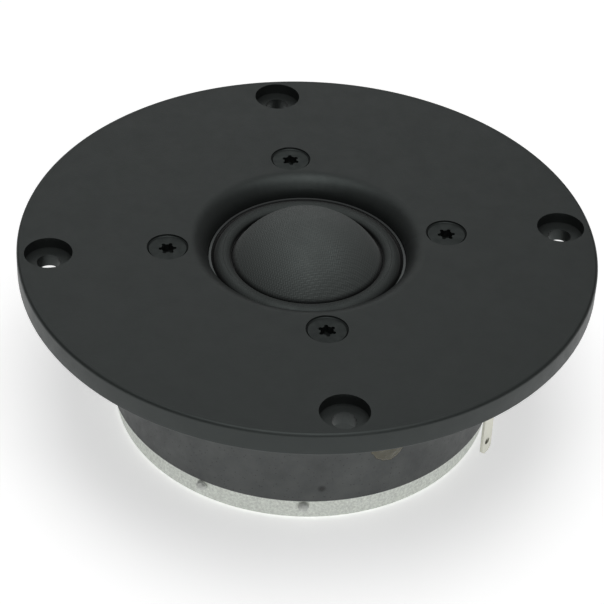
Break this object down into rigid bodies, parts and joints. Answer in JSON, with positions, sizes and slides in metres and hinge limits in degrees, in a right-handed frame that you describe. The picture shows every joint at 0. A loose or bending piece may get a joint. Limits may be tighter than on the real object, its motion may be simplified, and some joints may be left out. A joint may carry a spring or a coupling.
{
  "type": "soft dome tweeter",
  "caption": "Round-flange loudspeaker tweeter with a woven fabric dome in a rounded recess and a ferrite ring magnet with a plated back plate behind.",
  "frame": {"origin": "on the dome's axis at the flange's rear seating face, the centre of the mounting hole circle", "axes": "+Z out of the dome, +X through one mounting hole, +Y through the next"},
  "size_m": [0.104, 0.104, 0.0394],
  "materials": {
    "faceplate": "satin, finely textured",
    "faceplate_screws": "black oxide",
    "diaphragm_gasket": "closed-cell foam",
    "diaphragm_ring": "satin",
    "surround": "coated fabric",
    "dome": "coated fine weave",
    "coil_former": "thin foil",
    "coil_winding": "enamelled copper wire",
    "coil_leadouts": "enamelled copper wire",
    "lead_wire_plus": "insulated wire",
    "lead_wire_minus": "insulated wire",
    "terminal_block_plus": "moulded",
    "terminal_block_minus": "moulded",
    "terminal_lug_plus": "tinned",
    "terminal_lug_minus": "tinned",
    "solder_joint_plus": "solder",
    "solder_joint_minus": "solder",
    "top_plate": "zinc plated",
    "front_glue_ring": "cured adhesive",
    "magnet_ring": "sintered ferrite",
    "rear_glue_ring": "cured adhesive",
    "back_plate": "zinc plated",
    "pole_piece": "zinc plated",
    "copper_cap": "copper",
    "pole_felt_pad": "felt",
    "vent_felt_plug": "felt",
    "glue_drip": "cured adhesive",
    "glue_beads": "cured adhesive"
  },
  "bodies": {
    "tweeter_frame": {"faceplate": "faceplate", "faceplate_screws": "faceplate_screws", "diaphragm_gasket": "diaphragm_gasket", "diaphragm_ring": "diaphragm_ring", "surround": "surround", "coil_leadouts": "coil_leadouts", "lead_wire_plus": "lead_wire_plus", "lead_wire_minus": "lead_wire_minus", "terminal_block_plus": "terminal_block_plus", "terminal_block_minus": "terminal_block_minus", "terminal_lug_plus": "terminal_lug_plus", "terminal_lug_minus": "terminal_lug_minus", "solder_joint_plus": "solder_joint_plus", "solder_joint_minus": "solder_joint_minus", "top_plate": "top_plate", "front_glue_ring": "front_glue_ring", "magnet_ring": "magnet_ring", "rear_glue_ring": "rear_glue_ring", "back_plate": "back_plate", "pole_piece": "pole_piece", "copper_cap": "copper_cap", "pole_felt_pad": "pole_felt_pad", "vent_felt_plug": "vent_felt_plug", "glue_drip": "glue_drip", "glue_beads": "glue_beads"},
    "moving_assembly": {"dome": "dome", "coil_former": "coil_former", "coil_winding": "coil_winding"}
  },
  "joints": [
    {"name": "diaphragm_travel", "type": "slide", "parent": "tweeter_frame", "child": "moving_assembly", "axis": [0, 0, 1], "range_m": [-0.0005, 0.0005], "stiffness_N_per_m": 60, "deforming": ["surround", "coil_leadouts"]}
  ]
}
